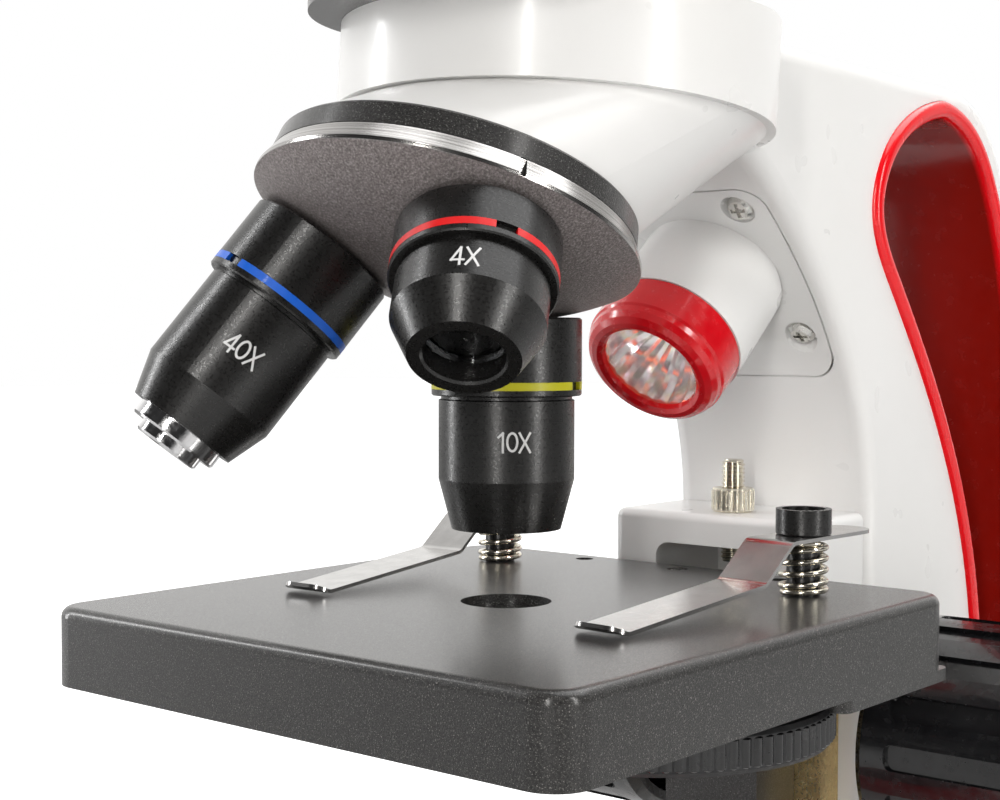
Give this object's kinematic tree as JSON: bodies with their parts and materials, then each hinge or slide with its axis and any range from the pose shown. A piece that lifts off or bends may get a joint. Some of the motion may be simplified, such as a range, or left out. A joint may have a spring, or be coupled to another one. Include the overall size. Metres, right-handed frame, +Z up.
{
  "type": "compound microscope",
  "caption": "Student compound microscope with a revolving three-lens nosepiece, spring stage clips, a built-in upper lamp and a carrying handle in its arm.",
  "frame": {"origin": "middle of the base on the table", "axes": "+Z up, +Y towards the arm and its handle, +X to the user's right when facing the stage from the front"},
  "size_m": [0.132, 0.212, 0.2991],
  "materials": {
    "black_anodised": "satin black anodised, fine turning marks",
    "black_coat": "light alloy under fine sand-texture black powder coat",
    "black_coat_dome": "light alloy under dark grey textured lacquer",
    "black_gloss": "polished black moulding",
    "black_plastic": "matt black moulding",
    "black_steel": "black oxide",
    "blue_band": "blue enamel ring",
    "brass": "machined brass",
    "cell_jacket": "plain dark printed sleeve",
    "chrome": "polished chrome",
    "glass": "clear polished optical glass",
    "green_board": "green lacquered circuit board",
    "led_white": "frosted white lamp body",
    "mirror": "vacuum metallised reflector",
    "nickel": "warm nickel plate",
    "red_band": "red enamel ring",
    "red_plastic": "glossy red moulding",
    "rubber": "matt black rubber",
    "stainless": "brushed stainless strip",
    "steel": "turned steel",
    "white_paint": "die-cast light alloy under satin white stove enamel",
    "yellow_band": "yellow enamel ring",
    "zinc_steel": "bright zinc plate"
  },
  "bodies": {
    "stand": {"base_shell": "white_paint", "base_plate": "black_plastic", "battery_door": "black_plastic", "base_screws": "zinc_steel", "rubber_feet": "rubber", "battery_cells": "cell_jacket", "power_inlet": "black_plastic", "switch_frame": "black_plastic", "light_boards": "green_board", "light_collar": "red_plastic", "base_field_lens": "glass", "arm": "white_paint", "handle_liner": "red_plastic", "front_cover": "white_paint", "cover_screws": "zinc_steel", "lamp_cap": "red_plastic", "lamp_lens": "glass", "lamp_reflector": "mirror", "lamp_led": "led_white", "stop_bracket": "white_paint", "nosepiece_plate": "black_coat", "turret_pivot": "steel", "slide_rails": "brass", "shaft_bushes": "brass", "head_seat": "black_coat"},
    "stage": {"stage_plate": "black_coat", "stage_carrier": "black_coat", "focus_rack": "brass", "clip_posts": "black_anodised", "clip_springs": "nickel", "condenser_lens": "glass", "stage_screws": "zinc_steel"},
    "right_clip": {"clip_right": "stainless"},
    "left_clip": {"clip_left": "stainless"},
    "diaphragm": {"diaphragm_disc": "black_plastic"},
    "focus_drive": {"focus_shaft": "steel", "focus_pinion": "brass", "focus_knobs": "black_gloss"},
    "turret": {"turret_dome": "black_coat_dome", "objective_4x": "black_anodised", "objective_10x": "black_anodised", "objective_40x": "black_anodised", "red_band_4x": "red_band", "yellow_band_10x": "yellow_band", "blue_band_40x": "blue_band", "front_lenses": "glass"},
    "sprung_nose": {"nose_40x": "chrome", "front_lens_40x": "glass"},
    "head": {"head_shell": "white_paint", "head_prism": "glass", "tube_ring": "red_plastic", "eyepiece_tube": "white_paint"},
    "eyepiece": {"eyepiece_barrel": "black_anodised", "eyepiece_lenses": "glass", "eyecup": "rubber"},
    "lock_screw": {"head_lock_screw": "zinc_steel"},
    "travel_stop": {"stop_screw": "black_steel"},
    "stop_lock": {"stop_nut": "nickel"},
    "rocker": {"switch_rocker": "red_plastic"},
    "dimmer": {"brightness_dial": "black_plastic"}
  },
  "joints": [
    {"name": "head_turn", "type": "hinge", "parent": "stand", "child": "head", "pos_m": [0, -0.044, 0.201], "axis": [0, 0, 1], "continuous": true},
    {"name": "eyepiece_slide", "type": "slide", "parent": "head", "child": "eyepiece", "axis": [0, 0.7071, 0.7071], "range_m": [0, 0.03]},
    {"name": "head_lock_turn", "type": "hinge", "parent": "stand", "child": "lock_screw", "pos_m": [0.02, -0.044, 0.197], "axis": [1, 0, 0], "continuous": true},
    {"name": "turret_turn", "type": "hinge", "parent": "stand", "child": "turret", "pos_m": [0, -0.044, 0.1911], "axis": [0, -0.3803, -0.9249], "continuous": true},
    {"name": "nose_spring", "type": "slide", "parent": "turret", "child": "sprung_nose", "axis": [0.3293, 0.5275, 0.7831], "range_m": [0, 0.0015], "stiffness_N_per_m": 400},
    {"name": "stage_lift", "type": "slide", "parent": "stand", "child": "stage", "axis": [0, 0, 1], "range_m": [-0.02, 0.004]},
    {"name": "focus_turn", "type": "hinge", "parent": "stand", "child": "focus_drive", "pos_m": [0, 0.037, 0.0775], "axis": [1, 0, 0], "range_deg": [-40, 185]},
    {"name": "right_clip_swivel", "type": "hinge", "parent": "stage", "child": "right_clip", "pos_m": [0.02905, -0.01065, 0.116], "axis": [0, 0, 1], "range_deg": [-25, 60]},
    {"name": "left_clip_swivel", "type": "hinge", "parent": "stage", "child": "left_clip", "pos_m": [-0.02905, -0.01065, 0.116], "axis": [0, 0, 1], "range_deg": [-60, 25]},
    {"name": "diaphragm_turn", "type": "hinge", "parent": "stage", "child": "diaphragm", "pos_m": [0.0148, -0.0298, 0.093], "axis": [0, 0, 1], "continuous": true},
    {"name": "stop_screw_travel", "type": "slide", "parent": "stand", "child": "travel_stop", "axis": [0, 0, 1], "range_m": [0, 0.006]},
    {"name": "stop_nut_turn", "type": "hinge", "parent": "stand", "child": "stop_lock", "pos_m": [0, 0.0165, 0.117], "axis": [0, 0, 1], "continuous": true},
    {"name": "light_rocker", "type": "hinge", "parent": "stand", "child": "rocker", "pos_m": [-0.05478, -0.02242, 0.02], "axis": [0, 0, 1], "range_deg": [0, 14]},
    {"name": "brightness_turn", "type": "hinge", "parent": "stand", "child": "dimmer", "pos_m": [0.04916, -0.02338, 0.02], "axis": [0, 0, 1], "range_deg": [-135, 135]}
  ],
  "couplings": [
    {"joint": "focus_turn", "follows": "stage_lift", "rad_per_m": -158.73}
  ]
}
